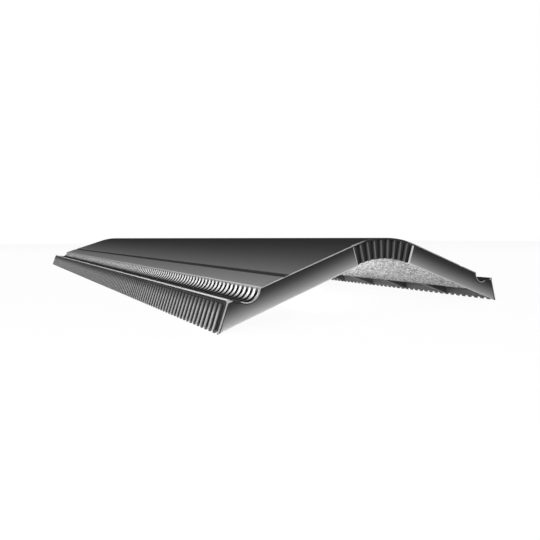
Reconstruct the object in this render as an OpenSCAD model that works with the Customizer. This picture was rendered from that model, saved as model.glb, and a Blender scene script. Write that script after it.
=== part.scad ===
// Shingle-over ridge vent: one moulded body bent over a roof ridge, with a fibre filter under its deck.
// +Y runs along the ridge, +X across it, and Z = 0 is the level of the two outer feet.

/* [Section] */
// Length of one section along the ridge
length = 1219.2; // [500:0.1:2000]
// Angle of each wing below level, as on a roof that rises 4 in 12
wing_angle = 18.43; // [14:0.01:34]
// Width of one flat wing, from the flexible centre to the outer foot
wing_w = 162.4; // [150:0.1:220]
// Width of the flexible centre, measured flat along its underside
flex_w = 74; // [50:1:100]
// Height of the deck's top above the roof
deck_h = 22; // [19:0.5:32]
// Wall thickness of the deck and the trough
skin_t = 1.8; // [1.2:0.1:2.4]

/* [Louvre band] */
// Distance across the trough, from the deck's lip to the rim of the wind baffle
trough_w = 32; // [26:0.5:38]
// Depth of the trough below the deck's top
trough_d = 8; // [6:0.5:10]
// Radius of the trough's curve, from the lip round to its straight outer flank
trough_r = 12; // [9:0.5:12]
// How far the lip's bead stands above the deck
lip_rise = 0.3; // [0.3:0.1:0.6]
// Height of the rim above the deck
rim_rise = 1.5; // [0:0.1:3]
// How far the baffle leans in, from its foot to its rim
baffle_run = 18; // [10:0.5:24]
// Thickness of the wind baffle
baffle_t = 1.8; // [1.2:0.1:2.4]
// Radius of the bead along the rim
bead_r = 1.6; // [1:0.1:2.2]
// Width of one louvre slot
slot_w = 4.6; // [2:0.1:5]
// Solid margin between the deck's top and the upper end of a slot
slot_margin = 3.2; // [2.6:0.1:5]
// How far a slot reaches out from the lip
slot_reach = 20; // [14:0.5:22]

/* [Baffle ribs] */
// Radius of one half-round rib
rib_r = 2.4; // [1.5:0.1:3]
// How far a rib stands out of the baffle
rib_h = 2.1; // [1:0.1:2.4]
// Gap between the rim and the ribs' upper ends
rib_gap = 2.4; // [1:0.1:4]
// Height of the ribs' lower ends above the foot
rib_lift = 2.4; // [1:0.1:4]
// Height of the drain notches along the foot
weep_h = 1.6; // [1:0.1:4]

/* [Bays] */
// Number of bays between the cross webs
bays = 17; // [6:1:28]
// Louvre slots in each bay
slots_per_bay = 8; // [4:1:10]
// Thickness of a cross web
web_t = 1.6; // [1:0.1:2.4]

/* [End closures] */
// Thickness of an end plate
plate_t = 2; // [1.2:0.1:3]
// How far an end plate lies behind the cut edge of the skin
plate_inset = 0.8; // [0.2:0.1:2]
// Number of pleats that close the flexible centre
pleats = 9; // [5:1:11]
// Depth of a pleat, from its front fold to its back fold
pleat_d = 3.5; // [3:0.5:6]
// How far a back fold lies short of the next front fold
pleat_lead = 0.8; // [0.4:0.1:1.6]
// Wall thickness of a pleat
pleat_t = 1.1; // [0.8:0.1:1.6]
// How far the front folds lie behind the cut edge of the skin
pleat_inset = 2; // [1:0.1:4]
// Gap between the pleats' lower edge and the roof
pleat_gap = 0.5; // [0.2:0.1:2]

/* [Nail line] */
// Distance of the nail line from the flexible centre
nail_s = 83; // [70:1:95]
// Width of the nail line's groove
nail_w = 7; // [3:0.5:9]
// Depth of the groove
nail_d = 0.5; // [0.2:0.1:0.7]

/* [Filter] */
// Thickness of the fibre filter
filter_t = 3.5; // [2:0.5:6]
// Distance from the flexible centre to the filter's edge
filter_s = 106; // [95:1:112]
// Gap between the filter and the end closures
filter_gap = 0.3; // [0.2:0.1:1]

/* [Hidden] */

// Smoothness of the round surfaces
$fn = 48;
// Steps in which the bend over the ridge is drawn
bend_steps = 36;
// Overrun that takes a cut clear of the face it starts from
cut = 1;
// How far one form reaches into the next, so that no two edges only touch
lap = 0.2;

bend_r = flex_w / 2 / (wing_angle * PI / 180);
bend_z = wing_w * sin(wing_angle) - bend_r * cos(wing_angle);

// The outline of the louvre band, across a wing: s from the flexible centre, n above the roof
rim_n = deck_h + rim_rise;
lean = atan(rim_n / baffle_run);
rim_s = wing_w - baffle_run;
lip_s = rim_s - trough_w;

// The trough's curve starts at the lip, and its straight flank runs from the curve out to the rim
rim = [rim_s, rim_n];
trough_c = [lip_s + sqrt(2 * trough_r * trough_d - trough_d * trough_d), deck_h - trough_d + trough_r];
to_rim = rim - trough_c;
touch_angle = atan2(to_rim[1], to_rim[0]) - acos(trough_r / norm(to_rim));
flank_start = trough_c + (trough_r - lap) * [cos(touch_angle), sin(touch_angle)];
flank = rim - flank_start;
flank_out = [flank[1], -flank[0]] / norm(flank);
trough_low = deck_h - trough_d - skin_t;

// The bead along the lip stands where the underside of the deck meets that of the trough
under_rise = trough_r - trough_d + skin_t;
lip_c = [trough_c[0] - sqrt(pow(trough_r + skin_t, 2) - pow(under_rise, 2)), deck_h - skin_t / 2];

bay = length / bays;
slot_pitch = bay / slots_per_bay;
slot_total = bays * slots_per_bay;

fold_w = (bend_r + deck_h) * 2 * wing_angle * PI / 180 / pleats;

// A point of the bent section at radius r, turned by angle from the ridge
function bend_point(r, angle) = [r * sin(angle), bend_z + r * cos(angle)];
// A point of a wing, at distance s from the flexible centre and height n above the roof
function wing_point(side, s, n) =
    [side * (bend_r * sin(wing_angle) + s * cos(wing_angle) + n * sin(wing_angle)),
     (wing_w - s) * sin(wing_angle) + n * cos(wing_angle)];
// The line that runs at height n from one wing over the bend to the other, out to distance s
function over_ridge(s, n) = concat(
    [wing_point(-1, s, n)],
    [for (i = [0:bend_steps]) bend_point(bend_r + n, wing_angle * (2 * i - bend_steps) / bend_steps)],
    [wing_point(1, s, n)]);
// Distance out to the baffle's outer face at height n
function baffle_s(n) = wing_w - n / tan(lean);
function turned_round(points) = [for (i = [len(points) - 1:-1:0]) points[i]];

// A profile drawn across the ridge, made solid from y = from over a length run
module along_ridge(from, run) {
    translate([0, from + run, 0]) rotate([90, 0, 0]) linear_extrude(run) children();
}

// A sheet between heights low and high above the roof, which follows the bend and both wings
module bent_sheet(s, low, high) {
    polygon(concat(over_ridge(s, high), turned_round(over_ridge(s, low))));
}

// Children drawn in a wing's own frame, X outwards along the roof and Z away from it
module on_wings() {
    for (side = [0, 1]) mirror([side, 0, 0])
        translate([bend_r * sin(wing_angle), 0, wing_w * sin(wing_angle)])
            rotate([0, wing_angle, 0]) children();
}

// The space inside the trough, grown by a wall where the wall's underside is wanted
module trough_form(wall) {
    translate(trough_c) circle(trough_r + wall);
    polygon([trough_c, flank_start + wall * flank_out, rim + wall * flank_out,
             rim + [wall, deck_h], trough_c + [0, deck_h]]);
}

// A wing's closed outline, with the trough taken out of its top
module wing_outline() {
    difference() {
        polygon([[0, 0], [wing_w, 0], rim, [trough_c[0], deck_h], [0, deck_h]]);
        trough_form(0);
    }
}

// The hollow under a wing's skin from s = from and n = low, which may reach into the skin
module wing_inside(from, low, reach) {
    inner = (baffle_t - reach) / sin(lean);
    top = deck_h - skin_t + reach;
    difference() {
        polygon([[from, low], [baffle_s(low) - inner, low], [rim_s - inner, rim_n],
                 [trough_c[0], top], [from, top]]);
        trough_form(skin_t - reach);
    }
}

// The trough and the wind baffle, with the louvre slots and the drain notches cut through
module louvre_band() {
    difference() {
        along_ridge(-length / 2, length) {
            difference() {
                wing_outline();
                wing_inside(-cut, -cut, 0);
                translate([-cut, -cut]) square([lip_c[0] + cut, deck_h + 2 * cut]);
            }
            translate([rim_s, rim_n - bead_r / 2]) circle(bead_r);
            translate(lip_c) circle(skin_t / 2 + lip_rise);
        }
        for (i = [0:slot_total - 1]) translate([0, (i + 0.5) * slot_pitch - length / 2, 0]) {
            translate([lip_s - 2 * skin_t, -slot_w / 2, trough_low - cut])
                cube([slot_reach + 2 * skin_t, slot_w, deck_h - slot_margin - trough_low + cut]);
            translate([wing_w - slot_w - baffle_t, -slot_w / 2, -cut])
                cube([2 * slot_w + baffle_t, slot_w, weep_h + cut]);
        }
    }
}

// The half-round ribs on the outer face of the wind baffle
module baffle_ribs() {
    rib_len = rim_n / sin(lean);
    top = rim_n - rib_gap;
    intersection() {
        for (i = [1:slot_total - 1])
            translate([wing_w, i * slot_pitch - length / 2, 0]) rotate([0, lean - 90, 0])
                translate([rib_h - rib_r, 0, -rib_len]) cylinder(r = rib_r, h = 2 * rib_len);
        along_ridge(-length / 2, length)
            polygon([[baffle_s(rib_lift) - baffle_t / 2, rib_lift],
                     [baffle_s(rib_lift) + 2 * rib_h, rib_lift],
                     [baffle_s(top) + 2 * rib_h, top], [baffle_s(top) - baffle_t / 2, top]]);
    }
}

// The webs that stand across the wing between its bays and carry the deck above the filter
module cross_webs() {
    for (i = [1:bays - 1]) along_ridge(i * bay - length / 2 - web_t / 2, web_t)
        difference() {
            wing_inside(-lap, 0, lap);
            translate([-cut, -cut]) square([filter_s + filter_gap + cut, filter_t + cut]);
        }
}

// The flat plates that close both ends of a wing, set in from the cut edge of the skin
module end_plates() {
    face_y = length / 2 - plate_inset;
    for (from = [-face_y, face_y - plate_t]) along_ridge(from, plate_t) wing_inside(-lap, 0, lap);
}

// One row of knife pleats, which closes the flexible centre from plate to plate and lets it bend
module pleat_row() {
    low = bend_r + pleat_gap;
    back_fold = fold_w / 2 - pleat_lead;
    for (i = [0:pleats - 1])
        translate([0, 0, bend_z]) rotate([0, wing_angle * (2 * (i + 0.5) / pleats - 1), 0])
            translate([0, pleat_inset - length / 2, low])
                linear_extrude(bend_r + deck_h - skin_t / 2 - low)
                    polygon([[-fold_w / 2, 0], [back_fold, pleat_d - pleat_t], [fold_w / 2, 0],
                             [fold_w / 2 + pleat_t, 0], [back_fold + pleat_t, pleat_d],
                             [back_fold, pleat_d], [-fold_w / 2, pleat_t]]);
}

module deck() {
    difference() {
        along_ridge(-length / 2, length) bent_sheet(lip_c[0] - lap, deck_h - skin_t, deck_h);
        on_wings() translate([nail_s - nail_w / 2, -length / 2 - cut, deck_h - nail_d])
            cube([nail_w, length + 2 * cut, nail_d + cut]);
    }
}

module vent_body() {
    color("#2b2c2e") union() {
        deck();
        on_wings() {
            louvre_band();
            baffle_ribs();
            cross_webs();
            end_plates();
        }
        for (end = [0, 1]) mirror([0, end, 0]) pleat_row();
    }
}

// The filter runs from end plate to end plate, and is notched round the pleats
module filter_mat() {
    filter_len = length - 2 * (plate_inset + plate_t + filter_gap);
    notch_w = 2 * ((bend_r + filter_t) * sin(wing_angle) + filter_gap);
    notch_y = length / 2 - pleat_inset - pleat_d - filter_gap;
    color("#b9bab8") difference() {
        along_ridge(-filter_len / 2, filter_len) bent_sheet(filter_s, 0, filter_t);
        for (end = [0, 1]) mirror([0, end, 0]) translate([-notch_w / 2, notch_y, 0])
            cube([notch_w, length, bend_r]);
    }
}

vent_body();
filter_mat();
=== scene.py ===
import math
import random

import bmesh
import bpy
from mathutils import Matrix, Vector
from mathutils.geometry import delaunay_2d_cdt


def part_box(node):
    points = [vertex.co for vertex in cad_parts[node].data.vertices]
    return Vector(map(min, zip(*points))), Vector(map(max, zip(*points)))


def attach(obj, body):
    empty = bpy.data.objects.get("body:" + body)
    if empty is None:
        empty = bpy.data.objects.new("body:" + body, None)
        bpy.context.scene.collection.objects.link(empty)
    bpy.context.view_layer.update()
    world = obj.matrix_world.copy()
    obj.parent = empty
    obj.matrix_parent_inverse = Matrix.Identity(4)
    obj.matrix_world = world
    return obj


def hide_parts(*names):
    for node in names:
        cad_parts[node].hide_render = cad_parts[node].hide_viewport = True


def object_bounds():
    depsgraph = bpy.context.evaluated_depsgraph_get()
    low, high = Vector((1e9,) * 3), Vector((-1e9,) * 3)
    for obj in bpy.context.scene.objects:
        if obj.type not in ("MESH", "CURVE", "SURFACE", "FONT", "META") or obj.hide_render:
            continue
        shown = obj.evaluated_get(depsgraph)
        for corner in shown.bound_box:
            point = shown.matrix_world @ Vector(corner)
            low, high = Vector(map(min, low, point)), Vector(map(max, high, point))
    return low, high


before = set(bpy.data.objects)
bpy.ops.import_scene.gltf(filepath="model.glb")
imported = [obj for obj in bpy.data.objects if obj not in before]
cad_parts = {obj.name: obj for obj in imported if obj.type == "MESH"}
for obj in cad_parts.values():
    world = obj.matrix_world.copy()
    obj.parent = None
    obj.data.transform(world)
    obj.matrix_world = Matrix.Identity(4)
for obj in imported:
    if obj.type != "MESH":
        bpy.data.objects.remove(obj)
cad_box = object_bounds()

# Studio
# The camera stands low in front of the near end, to the left, as in the photo. The floor and the
# air are plain white paper, and softboxes stand to both sides, behind, above and in front.
camera_at = (-0.348, -0.958, 0.0812)
camera_dip = 4.13
camera_roll = 0.36
camera_heading = -30.95
photo_side = 540
focal_px = 462
sensor = 36

bpy.ops.object.select_all(action="DESELECT")
camera_turn = [math.radians(angle) for angle in (90 - camera_dip, camera_roll, camera_heading)]
bpy.ops.object.camera_add(location=camera_at, rotation=camera_turn)
camera = bpy.context.object
camera.data.sensor_width = sensor
camera.data.lens = focal_px / photo_side * sensor
camera.data.clip_start = 0.01
bpy.context.scene.camera = camera
bpy.context.scene.view_settings.view_transform = "Standard"


class Wire:
    """A shader socket, whose Python expressions add nodes to its tree."""

    def __init__(self, tree, socket):
        self.tree, self.socket = tree, socket

    def node(self, kind, settings=None, inputs=()):
        """Any node, with its settings first and then its sockets' values or links, by name or number."""
        made = self.tree.nodes.new(kind)
        for name, value in (settings or {}).items():
            setattr(made, name, value)
        for key, value in dict(inputs).items():
            if isinstance(value, Wire):
                self.tree.links.new(value.socket, made.inputs[key])
            else:
                made.inputs[key].default_value = value
        return made

    def wire(self, kind, settings=None, inputs=(), out=0):
        return Wire(self.tree, self.node(kind, settings, inputs).outputs[out])

    def math(self, operation, *values):
        return self.wire("ShaderNodeMath", {"operation": operation}, dict(enumerate(values)))

    def __add__(self, other):
        return self.math("ADD", self, other)

    def __sub__(self, other):
        return self.math("SUBTRACT", self, other)

    def __rsub__(self, other):
        return self.math("SUBTRACT", other, self)

    def __mul__(self, other):
        return self.math("MULTIPLY", self, other)

    def __truediv__(self, other):
        return self.math("DIVIDE", self, other)

    __radd__ = __add__

    def larger(self, other):
        return self.math("MAXIMUM", self, other)

    def over(self, low, high):
        """0 up to low, 1 from high on, and a smooth step between them."""
        return self.wire("ShaderNodeMapRange", {"interpolation_type": "SMOOTHSTEP"},
                         {"Value": self, "From Min": low, "From Max": high})

    def past(self, edge, soft):
        """0 below edge and 1 above it, with a smooth step of soft to either side."""
        return self.over(edge - soft, edge + soft)

    def rise(self, low, high):
        """0 up to low, 1 from high on, and straight between them."""
        return self.wire("ShaderNodeMapRange", inputs={"Value": self, "From Min": low, "From Max": high})

    def between(self, low, high, soft):
        """1 between low and high, and 0 outside them, with soft edges."""
        return self.past(low, soft) * (1 - self.past(high, soft))

    def mix(self, first, second):
        """The colour first where this is 0, and second where it is 1."""
        return self.wire("ShaderNodeMix", {"data_type": "RGBA"}, {0: self, 6: first, 7: second}, out=2)


def new_material(name):
    """A material, its shader, and a wire on the object's own coordinates."""
    made = bpy.data.materials.new(name)
    made.use_nodes = True
    tree = made.node_tree
    place = tree.nodes.new("ShaderNodeTexCoord").outputs["Object"]
    return made, tree.nodes["Principled BSDF"], Wire(tree, place)


def grey(level):
    return (level, level, level, 1)


floor_side = 12
paper_white = 0.9
shown_white = 0.95

bpy.ops.object.select_all(action="DESELECT")
bpy.ops.mesh.primitive_plane_add(size=floor_side)
floor = bpy.context.object
floor.name = "floor"
paper, paper_shader, place = new_material("floor_paper")
paper_shader.inputs["Base Color"].default_value = grey(paper_white)
paper_shader.inputs["Roughness"].default_value = 1
paper_shader.inputs["Specular IOR Level"].default_value = 0
seen = place.wire("ShaderNodeLightPath", out="Is Camera Ray")
glow = place.wire("ShaderNodeEmission", inputs={"Color": grey(1), "Strength": 1})
lit = Wire(paper.node_tree, paper_shader.outputs[0])
both = place.wire("ShaderNodeMixShader", inputs={0: seen * shown_white, 1: lit, 2: glow})
paper.node_tree.links.new(both.socket, paper.node_tree.nodes["Material Output"].inputs["Surface"])
floor.data.materials.append(paper)

air_light = 0.1
air = bpy.data.worlds.new("studio_air")
air.use_nodes = True
bpy.context.scene.world = air
backdrop = air.node_tree.nodes["Background"]
backdrop.inputs["Color"].default_value = grey(1)
seen = Wire(air.node_tree, None).wire("ShaderNodeLightPath", out="Is Camera Ray")
air.node_tree.links.new(seen.larger(air_light).socket, backdrop.inputs["Strength"])


def soft_lamp(name, place, target, size, power):
    """A softbox of that width and height at place, turned to face target."""
    bpy.ops.object.light_add(type="AREA", location=place)
    lamp = bpy.context.object
    lamp.name = name
    lamp.data.shape = "RECTANGLE"
    lamp.data.size, lamp.data.size_y = size
    lamp.data.energy = power
    lamp.visible_camera = False
    lamp.rotation_euler = (Vector(target) - Vector(place)).to_track_quat("-Z", "Y").to_euler()


soft_lamp("left_lamp", (-2.4, -1.0, 0.75), (-0.15, -0.3, 0), (1.2, 0.8), 28)
soft_lamp("right_lamp", (2.4, -0.7, 0.9), (0.1, 0, 0), (1.2, 0.8), 18)
soft_lamp("back_lamp", (-1.3, 2.3, 0.9), (0, 0.3, 0), (1.0, 0.8), 14)
soft_lamp("top_lamp", (-0.3, 0.2, 2.5), (0, 0, 0), (1.6, 1.6), 24)
soft_lamp("front_lamp", (-0.5, -1.05, 0.26), (-0.05, -0.6, 0), (0.4, 0.3), 3.4)
# A small lamp on the floor lights the underside, which only the open end would light
soft_lamp("under_lamp", (-0.06, -0.34, 0.018), (0.17, -0.34, 0.02), (0.4, 0.03), 0.55)

# Shell
# The vent's body is one injection moulding in black polypropylene, satin on its skin. Its colour
# holds painted light and shade: pale highlights on edges, beads, bars, rib crests and inner walls, and dark
# shade on the ridge, trough, nail groove, pleats and between the ribs; its nail line is rougher.
mm = 0.001
wing_angle = math.radians(18.43)
wing_w = 162.4 * mm
flex_w = 74 * mm
deck_h = 22 * mm
skin_t = 1.8 * mm
trough_w = 32 * mm
rim_n = deck_h + 1.5 * mm
baffle_run = 18 * mm
trough_r = 12 * mm
trough_d = 8 * mm
bead_r = 1.6 * mm
lip_rise = 0.3 * mm
rib_lift = 2.4 * mm
slot_w = 4.6 * mm
nail_s = 83 * mm
nail_w = 7 * mm
plate_inset = 0.8 * mm
pleat_inset = 2 * mm
end_y = cad_box[1].y
slot_total = 136
slot_pitch = 2 * end_y / slot_total

bend_r = flex_w / 2 / wing_angle
lean = math.atan(rim_n / baffle_run)
rim_s = wing_w - baffle_run
lip_s = rim_s - trough_w
trough_c = (lip_s + math.sqrt(2 * trough_r * trough_d - trough_d ** 2), deck_h - trough_d + trough_r)
lip_c = (trough_c[0] - math.sqrt((trough_r + skin_t) ** 2 - (trough_r - trough_d + skin_t) ** 2),
         deck_h - skin_t / 2)
wing_start = (bend_r * math.sin(wing_angle), wing_w * math.sin(wing_angle))
bar_half = (slot_pitch - slot_w) / 2

# Each painted tone of light and shade keeps a crisp edge, and these say how far it reaches
crisp = 0.1 * mm
groove_floor = deck_h - 0.6 * mm
fade_start = -30 * mm
skin_under = deck_h - 2 * mm
inner_light_full = 20 * mm
rib_side, rib_top = 1 * mm, 2 * mm
crest_full, crest_gone = 13 * mm, 21 * mm
crest_loss = 0.75
bar_full, bar_gone = 3 * mm, 12 * mm
light_inner_s = 40 * mm
pleat_deep = 4.6 * mm
fold_soft = 0.03 * mm
foot_edge = 1 * mm
baffle_back = 2.3 * mm
side_front, side_back = 0.6 * mm, 2.9 * mm
outer_half = 1 * mm

# The tones the moulding is painted in, most of them painted light and shade
ridge_shade, deck_grey = grey(0.006), grey(0.2)
groove_shade = grey(0.018)
inner_light_grey = grey(0.15)
valley_shade, crest_highlight, foot_grey = grey(0.012), grey(0.3), grey(0.07)
trough_shade, bar_highlight = grey(0.008), grey(0.8)
bead_highlight = grey(0.42)
plate_shade, plate_light_grey, foot_light_grey = grey(0.022), grey(0.36), grey(0.45)
pleat_grey, pleat_shade, fold_highlight = grey(0.06), grey(0.006), grey(0.16)
edge_highlight_grey = grey(0.55)
cut_shade, cut_highlight = grey(0.02), grey(0.36)


def wing_frame(place):
    """Wires on the distance out along a wing, the height above the roof, and y."""
    axes = place.node("ShaderNodeSeparateXYZ", inputs={0: place})
    x, y, z = (Wire(place.tree, axes.outputs[i]) for i in range(3))
    out = x.math("ABSOLUTE", x) - wing_start[0]
    up = z - wing_start[1]
    s = out * math.cos(wing_angle) - up * math.sin(wing_angle)
    n = out * math.sin(wing_angle) + up * math.cos(wing_angle)
    return s, n, y


def away_from(s, n, centre):
    """A wire on the distance across the wing from a line along the ridge, such as a bead's centre."""
    across, up = s - centre[0], n - centre[1]
    squares = across * across + up * up
    return squares.math("SQRT", squares)


def near(distance, far):
    """1 up to far, and 0 from just beyond it."""
    return 1 - distance.over(far + crisp, far + 3 * crisp)


plastic, plastic_shader, place = new_material("moulded_polypropylene")
s, n, y = wing_frame(place)
from_end = end_y - y.math("ABSOLUTE", y)
off_baffle = (s - (wing_w - n * math.tan(math.pi / 2 - lean))) * math.sin(lean)
from_trough = away_from(s, n, trough_c)
from_rim = away_from(s, n, (rim_s, rim_n - bead_r / 2))
on_top = n.over(groove_floor - crisp, groove_floor)
on_wing = s.over(-1 * mm, 0)

# The deck is painted with shade, from black at the ridge to mid grey at the lip
fade = s.rise(fade_start, lip_s)
colour = (fade * fade).mix(ridge_shade, deck_grey)
# The nail line is a rougher groove, painted darker as the shade on its floor
nail_line = s.between(nail_s - nail_w / 2, nail_s + nail_w / 2, 3 * crisp) * on_top
colour = nail_line.mix(colour, groove_shade)
# Inside the skin the inner walls and undersides are painted paler, as the light that reaches them
inside = (1 - n.over(skin_under - 1 * mm, skin_under)) * s.over(0, inner_light_full)
colour = inside.mix(colour, inner_light_grey)
# The wind baffle is painted dark between its ribs as shade, and pale on their crests as highlights, which
# give way to shade towards the rim; its foot is a darker strip
baffle = off_baffle.over(-4 * crisp, -2 * crisp)
crest = off_baffle.over(rib_side, rib_top).mix(valley_shade, crest_highlight)
crest = (n.over(crest_full, crest_gone) * crest_loss).mix(crest, valley_shade)
foot = 1 - n.past(rib_lift, 3 * crisp)
colour = baffle.mix(colour, foot.mix(crest, foot_grey))
# The trough is painted black as shade, with its straight flank behind the rim
trough = near(from_trough, trough_r + skin_t) * s.over(lip_s, lip_s + 1 * mm)
flank_n = deck_h - trough_d
flank = s.over(trough_c[0], trough_c[0] + 2 * mm) * (1 - baffle) * n.over(flank_n - 5 * crisp, flank_n)
colour = trough.larger(flank).mix(colour, trough_shade)
# The bars between its slots carry a highlight painted white from the lip half way down
across_bar = (y / slot_pitch).math("PINGPONG", y / slot_pitch, 0.5) * slot_pitch
bar = (1 - across_bar.over(bar_half - 3 * crisp, bar_half + crisp)) * near(from_trough, trough_r)
bar = trough * bar * (1 - s.over(lip_s + bar_full, lip_s + bar_gone))
colour = bar.mix(colour, bar_highlight)
# The lip's bead is painted pale as a highlight
lip = near(away_from(s, n, lip_c), skin_t / 2 + lip_rise) * (1 - trough)
colour = lip.mix(colour, bead_highlight)
# The end plates are painted paler towards the roof as light from below, palest towards the foot, and dark as
# shade under the deck and along the roof line
plate = from_end.between(plate_inset - 3 * crisp, plate_inset + 4 * crisp, crisp) * on_wing
plate_light = 1 - n.rise(0, deck_h - skin_t)
plate_light = plate_light * plate_light * n.over(3 * crisp, 7 * crisp)
colour = plate.mix(colour, plate_light.mix(plate_shade, s.over(light_inner_s, wing_w).mix(plate_light_grey, foot_light_grey)))
# The pleats carry a highlight painted on their front folds, and shade painted black in their depth
closure = from_end.between(pleat_inset / 2, 4 * pleat_inset, 5 * crisp) * (1 - on_wing)
colour = closure.mix(colour, from_end.rise(pleat_inset + 2 * crisp, pleat_deep).mix(pleat_grey, pleat_shade))
folds = from_end.between(pleat_inset - 5 * crisp, pleat_inset + 2 * fold_soft, fold_soft) * (1 - on_wing)
colour = folds.mix(colour, fold_highlight)
# The rim's crest, the lower edges and the plates' inner sides are painted pale as highlights
rim = near(from_rim, bead_r) * n.over(rim_n + crisp, rim_n + 5 * crisp)
edges = (1 - n.past(foot_edge, crisp)) * s.over(-4 * crisp, -3 * crisp)
edges = edges * (1 - off_baffle.over(-baffle_back - 3 * crisp, -baffle_back))
side = s.between(-4 * crisp, 4 * crisp, crisp) * from_end.between(side_front, side_back, crisp / 2)
colour = rim.mix(colour, edge_highlight_grey)
colour = edges.larger(side).mix(colour, edge_highlight_grey)
# The outer half of the cut edges is painted pale as a highlight, the inner half dark as shade
outer = n.past(deck_h - outer_half, crisp)
outer = outer.larger(off_baffle.past(-outer_half, crisp))
outer = outer.larger(1 - from_trough.past(trough_r + outer_half, crisp))
cut = 1 - from_end.over(2 * crisp, 4 * crisp)
colour = cut.mix(colour, outer.mix(cut_shade, cut_highlight))
plastic.node_tree.links.new(colour.socket, plastic_shader.inputs["Base Color"])

satin_rough = 0.5
groove_rough = 0.4
ridge_rough = 0.1
gloss = 0.2
grain_scale = 1400
grain_d = 0.2 * mm
rough = satin_rough + nail_line * groove_rough + (1 - fade) * ridge_rough
plastic.node_tree.links.new(rough.socket, plastic_shader.inputs["Roughness"])
plastic_shader.inputs["Specular IOR Level"].default_value = gloss
grain = place.wire("ShaderNodeTexNoise", inputs={"Vector": place, "Scale": grain_scale, "Detail": 2})
bump = place.node("ShaderNodeBump", inputs={"Height": grain, "Strength": 0.25, "Distance": grain_d})
plastic.node_tree.links.new(bump.outputs[0], plastic_shader.inputs["Normal"])

# The frame's mesh cuts flat across the hollow curve of many louvre bars, so the shell is a
# merged copy of it, whose bars get faces that follow the curve
trough_x = wing_start[0] + trough_c[0] * math.cos(wing_angle) + trough_c[1] * math.sin(wing_angle)
trough_z = wing_start[1] - trough_c[0] * math.sin(wing_angle) + trough_c[1] * math.cos(wing_angle)
on_curve = 0.03 * mm
merged = 0.002 * mm
same_spot = 0.0001 * mm
smooth_angle = math.radians(16)


def round_trough(vertex):
    """A vertex's distance from the trough's centre line, and its angle round that line."""
    across, up = abs(vertex.co.x) - trough_x, vertex.co.z - trough_z
    return math.hypot(across, up), math.atan2(up, across)


def on_bar(vertex, radius, bar_y):
    """Whether a vertex lies on the curve of that radius, within the bar at bar_y."""
    return (abs(round_trough(vertex)[0] - radius) < on_curve
            and abs(vertex.co.y - bar_y) < bar_half + on_curve)


def lay_bars(mesh, radius):
    """Lays the faces of each bar at that radius anew, as they would lie on the curve rolled out flat."""
    bars = {}
    for face in mesh.faces:
        middle = face.calc_center_median()
        bar_y = round(middle.y / slot_pitch) * slot_pitch
        if all(on_bar(vertex, radius, bar_y) for vertex in face.verts):
            bars.setdefault((middle.x > 0, bar_y), []).append(face)
    flat_faces, rings = [], []
    for faces in bars.values():
        rim = [edge for face in faces for edge in face.edges
               if sum(other in faces for other in edge.link_faces) == 1]
        corners = sorted({vertex for edge in rim for vertex in edge.verts}, key=lambda vertex: vertex.index)
        number = {vertex: i for i, vertex in enumerate(corners)}
        rolled_out = [Vector((round_trough(vertex)[1] * radius, vertex.co.y)) for vertex in corners]
        outline = [[number[vertex] for vertex in edge.verts] for edge in rim]
        filled = delaunay_2d_cdt(rolled_out, outline, [], 1, same_spot)
        if all(filled[3]):
            flat_faces.extend(faces)
            rings.extend([corners[filled[3][i][0]] for i in face] for face in filled[2])
    bmesh.ops.delete(mesh, geom=flat_faces, context="FACES")
    for ring in rings:
        laid = mesh.faces.get(ring) or mesh.faces.new(ring)
        laid.normal_update()
        start = laid.verts[0].co
        hollow = Vector((math.copysign(trough_x, start.x), start.y, trough_z))
        if ((hollow - start).dot(laid.normal) > 0) != (radius == trough_r):
            laid.normal_flip()


mesh = bmesh.new()
mesh.from_mesh(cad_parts["vent_body"].data)
bmesh.ops.remove_doubles(mesh, verts=mesh.verts, dist=merged)
mesh.verts.index_update()
lay_bars(mesh, trough_r)
lay_bars(mesh, trough_r + skin_t)
shell = bpy.data.objects.new("vent_shell", bpy.data.meshes.new("vent_shell"))
mesh.to_mesh(shell.data)
mesh.free()
bpy.context.scene.collection.objects.link(shell)
bpy.ops.object.select_all(action="DESELECT")
shell.select_set(True)
bpy.context.view_layer.objects.active = shell
bpy.ops.object.shade_smooth_by_angle(angle=smooth_angle)
# Large flat faces keep their own shading beside the small ones that they meet
flats = shell.modifiers.new("flats", "WEIGHTED_NORMAL")
flats.keep_sharp = True
flats.weight = 100
bpy.ops.object.modifier_apply(modifier="flats")
shell.data.materials.append(plastic)
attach(shell, "root")
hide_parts("vent_body")

# Filter
# The filter is a mat of spun polyester fibre, cut flat and laid over the ridge under the deck,
# where the webs hold it down. Its ends are notched round the pleats.
filter_t = 3.5 * mm
filter_s = 106 * mm
filter_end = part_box("filter_mat")[1].y
notch_d = 2.7 * mm
notch_w = 77 * mm
mat_w = flex_w + 2 * filter_s
bend_z = wing_start[1] - bend_r * math.cos(wing_angle)
cuts_across = 77
cuts_along = (19, 15)
lump_size = 7 * mm
lump_h = 0.9 * mm


def lay_over_ridge(piece):
    """Bends a piece that was made flat over the bend and down both wings."""
    for vertex in piece.data.vertices:
        across, y, n = vertex.co
        side = math.copysign(1, across)
        turn = min(abs(across) / bend_r, wing_angle)
        s = max(abs(across) - flex_w / 2, 0)
        vertex.co = (side * ((bend_r + n) * math.sin(turn) + s * math.cos(wing_angle)), y,
                     bend_z + (bend_r + n) * math.cos(turn) - s * math.sin(wing_angle))


def cut_edges(piece, axis, cuts):
    """Cuts the edges that run along one axis of a box-shaped mesh, in edit mode."""
    bpy.ops.mesh.select_all(action="DESELECT")
    bpy.ops.object.mode_set(mode="OBJECT")
    for edge in piece.data.edges:
        ends = [piece.data.vertices[i].co for i in edge.vertices]
        run = ends[1] - ends[0]
        edge.select = abs(run[axis]) > 0.9 * run.length
    bpy.ops.object.mode_set(mode="EDIT")
    bpy.ops.mesh.subdivide(number_cuts=cuts)


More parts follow.
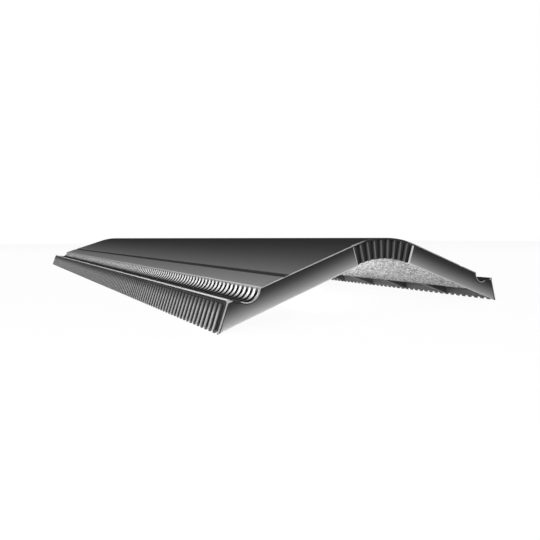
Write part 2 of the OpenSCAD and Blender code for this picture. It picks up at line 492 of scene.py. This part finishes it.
bpy.ops.object.select_all(action="DESELECT")
bpy.ops.mesh.primitive_cube_add(size=1, location=(0, 0, filter_t / 2))
mat = bpy.context.object
mat.name = "filter_blanket"
bpy.ops.object.mode_set(mode="EDIT")
bpy.ops.mesh.select_mode(type="EDGE")
bpy.ops.transform.resize(value=(mat_w, 2 * filter_end, filter_t))
cut_edges(mat, 0, cuts_across)
for cuts in cuts_along:
    cut_edges(mat, 1, cuts)
bpy.ops.object.mode_set(mode="OBJECT")
bpy.ops.object.transform_apply()
for vertex in mat.data.vertices:
    if abs(vertex.co.x) < notch_w / 2 and abs(vertex.co.y) > filter_end - notch_d:
        vertex.co.y = math.copysign(filter_end - notch_d, vertex.co.y)

# Lumps where the fibres crowd together
lumps = bpy.data.textures.new("fibre_lumps", "CLOUDS")
lumps.noise_scale = lump_size
press = mat.modifiers.new("press", "DISPLACE")
press.texture = lumps
press.texture_coords = "LOCAL"
press.strength = lump_h
bpy.ops.object.modifier_apply(modifier="press")
lay_over_ridge(mat)
bpy.ops.object.shade_smooth()

clump_scale = 300
strand_scale = 380
gap_grey, fibre_white = grey(0.22), grey(0.95)
fibre_rough = 0.9
clump_h = 0.8 * mm
fibre, fibre_shader, place = new_material("spun_fibre")
clumps = place.wire("ShaderNodeTexNoise",
                    inputs={"Vector": place, "Scale": clump_scale, "Detail": 3, "Roughness": 0.7})
strands = place.wire("ShaderNodeTexVoronoi", {"feature": "DISTANCE_TO_EDGE"},
                     {"Vector": place, "Scale": strand_scale})
colour = (clumps.over(0.44, 0.56) * strands.over(0, 0.15)).mix(gap_grey, fibre_white)
fibre.node_tree.links.new(colour.socket, fibre_shader.inputs["Base Color"])
fibre_shader.inputs["Roughness"].default_value = fibre_rough
fibre_shader.inputs["Specular IOR Level"].default_value = gloss
bump = place.node("ShaderNodeBump", inputs={"Height": clumps, "Strength": 0.7, "Distance": clump_h})
fibre.node_tree.links.new(bump.outputs[0], fibre_shader.inputs["Normal"])
mat.data.materials.append(fibre)
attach(mat, "root")
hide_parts("filter_mat")

# Loose fibres
# Strands of the same polyester stand out of the mat's two faces in small curls, most of them
# below, where the mat hangs open. Each is cut from one of three curls.
strand_r = 0.11 * mm
strand_total = 2400
strand_seed = 11
curl_turns = (0.5, 1.3, 2.1)
curl_steps = 6
curl_run = 1.6 * mm
curl_rise = 0.25 * mm
share_under = 0.8
mat_margin = 6 * mm
under_n = -0.3 * mm
above_n = filter_t + 0.2 * mm

curls = []
for turn in curl_turns:
    bpy.ops.object.select_all(action="DESELECT")
    bpy.ops.mesh.primitive_circle_add(vertices=3, radius=strand_r, rotation=(math.pi / 2, 0, 0),
                                      fill_type="NGON")
    curl = bpy.context.object
    bpy.ops.object.mode_set(mode="EDIT")
    for step in range(curl_steps):
        heading = turn * step / 2
        bpy.ops.mesh.extrude_region_move(TRANSFORM_OT_translate={"value": (
            curl_run * math.sin(heading), curl_run * math.cos(heading), curl_rise * (-1) ** step)})
    bpy.ops.object.mode_set(mode="OBJECT")
    bpy.ops.object.transform_apply()
    curls.append(curl)

chance = random.Random(strand_seed)
loose = []
for i in range(strand_total):
    strand = bpy.data.objects.new("strand", curls[i % 3].data.copy())
    bpy.context.scene.collection.objects.link(strand)
    under = chance.random() < share_under
    strand.location = (chance.uniform(-0.5, 0.5) * (mat_w - mat_margin),
                       chance.uniform(-1, 1) * (filter_end - mat_margin), under_n if under else above_n)
    strand.rotation_euler = (0, 0, chance.uniform(0, 2 * math.pi))
    loose.append(strand)
bpy.ops.object.select_all(action="DESELECT")
for strand in loose:
    strand.select_set(True)
bpy.context.view_layer.objects.active = loose[0]
bpy.ops.object.join()
fibres = bpy.context.object
fibres.name = "loose_fibres"
bpy.ops.object.transform_apply()
lay_over_ridge(fibres)
for curl in curls:
    bpy.data.objects.remove(curl)
bpy.ops.object.shade_smooth()

tint_scale = 90
dull_white, clean_white = grey(0.62), grey(0.88)
strand_rough = 0.55
pale, pale_shader, place = new_material("loose_fibre")
tint = place.wire("ShaderNodeTexNoise", inputs={"Vector": place, "Scale": tint_scale})
colour = tint.over(0.3, 0.7).mix(dull_white, clean_white)
pale.node_tree.links.new(colour.socket, pale_shader.inputs["Base Color"])
pale_shader.inputs["Roughness"].default_value = strand_rough
fibres.data.materials.append(pale)
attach(fibres, "root")
